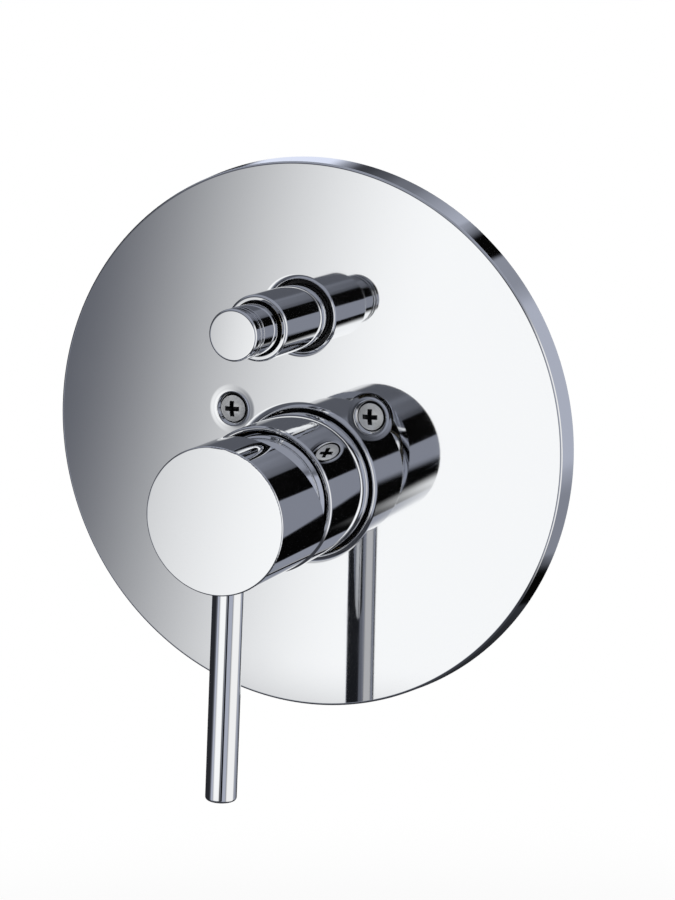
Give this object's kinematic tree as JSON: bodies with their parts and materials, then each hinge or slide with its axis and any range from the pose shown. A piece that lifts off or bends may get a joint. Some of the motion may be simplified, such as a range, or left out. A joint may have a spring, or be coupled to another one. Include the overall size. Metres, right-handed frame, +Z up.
{
  "type": "shower control valve",
  "caption": "Built-in shower control valve: round chrome face plate, hub with a hanging lever rod for flow and temperature, and a pull knob that switches the water between the outlets.",
  "frame": {"origin": "centre of the four fixing holes, in the rear plane of the two fixing bars, on the axis of the lever hub", "axes": "+Y into the wall along the axes of hub and knob, +X to the right as seen from the room, +Z up"},
  "size_m": [0.1818, 0.13, 0.198],
  "materials": {
    "chrome": "polished chrome plate",
    "brass": "cast brass, sand-blasted",
    "turned_brass": "turned brass",
    "steel": "stainless steel",
    "zinc": "zinc-plated steel strip",
    "cartridge_plastic": "moulded",
    "cage_plastic": "moulded",
    "ceramic": "lapped ceramic",
    "rubber": "matt black",
    "foam": "closed-cell foam",
    "fibre": "pressed fibre"
  },
  "bodies": {
    "valve": {"valve_body": "brass", "channel_plugs": "turned_brass", "fixing_bars": "zinc", "bar_screws": "steel", "plate_posts": "turned_brass", "cartridge_housing": "cartridge_plastic", "cartridge_base": "cartridge_plastic", "base_seals": "rubber", "fixed_disc": "ceramic", "cartridge_nut": "turned_brass", "dome_cover": "chrome", "sleeve_ring": "rubber", "control_sleeve": "chrome", "control_seal": "rubber", "face_plate": "chrome", "plate_gasket": "foam", "plate_screws": "chrome", "diverter_cage": "cage_plastic", "cage_rings": "rubber", "diverter_bonnet": "turned_brass", "bonnet_washer": "fibre", "spindle_rings": "rubber", "diverter_ring": "rubber", "diverter_sleeve": "chrome", "diverter_seal": "rubber"},
    "rotor": {"cartridge_rotor": "cartridge_plastic", "stem_pin": "steel"},
    "lever": {"lever_hub": "chrome", "lever_rod": "chrome", "set_screw": "steel", "cartridge_stem": "turned_brass"},
    "mixing_disc": {"moving_disc": "ceramic", "disc_carrier": "cartridge_plastic"},
    "diverter": {"diverter_knob": "chrome", "diverter_spindle": "turned_brass", "diverter_piston": "turned_brass", "piston_rings": "rubber", "piston_clip": "steel"}
  },
  "joints": [
    {"name": "temperature_swivel", "type": "hinge", "parent": "valve", "child": "rotor", "pos_m": [0, 0, 0], "axis": [0, 1, 0], "range_deg": [-48, 42]},
    {"name": "flow_tilt", "type": "hinge", "parent": "rotor", "child": "lever", "pos_m": [0, -0.0878, 0], "axis": [-0.9986, 0, 0.0523], "range_deg": [0, 22]},
    {"name": "disc_slide", "type": "slide", "parent": "rotor", "child": "mixing_disc", "axis": [-0.0523, 0, -0.9986], "range_m": [0, 0.0042]},
    {"name": "diverter_pull", "type": "slide", "parent": "valve", "child": "diverter", "axis": [0, -1, 0], "range_m": [0, 0.009]}
  ],
  "couplings": [
    {"joint": "disc_slide", "follows": "flow_tilt", "m_per_rad": 0.010829}
  ]
}
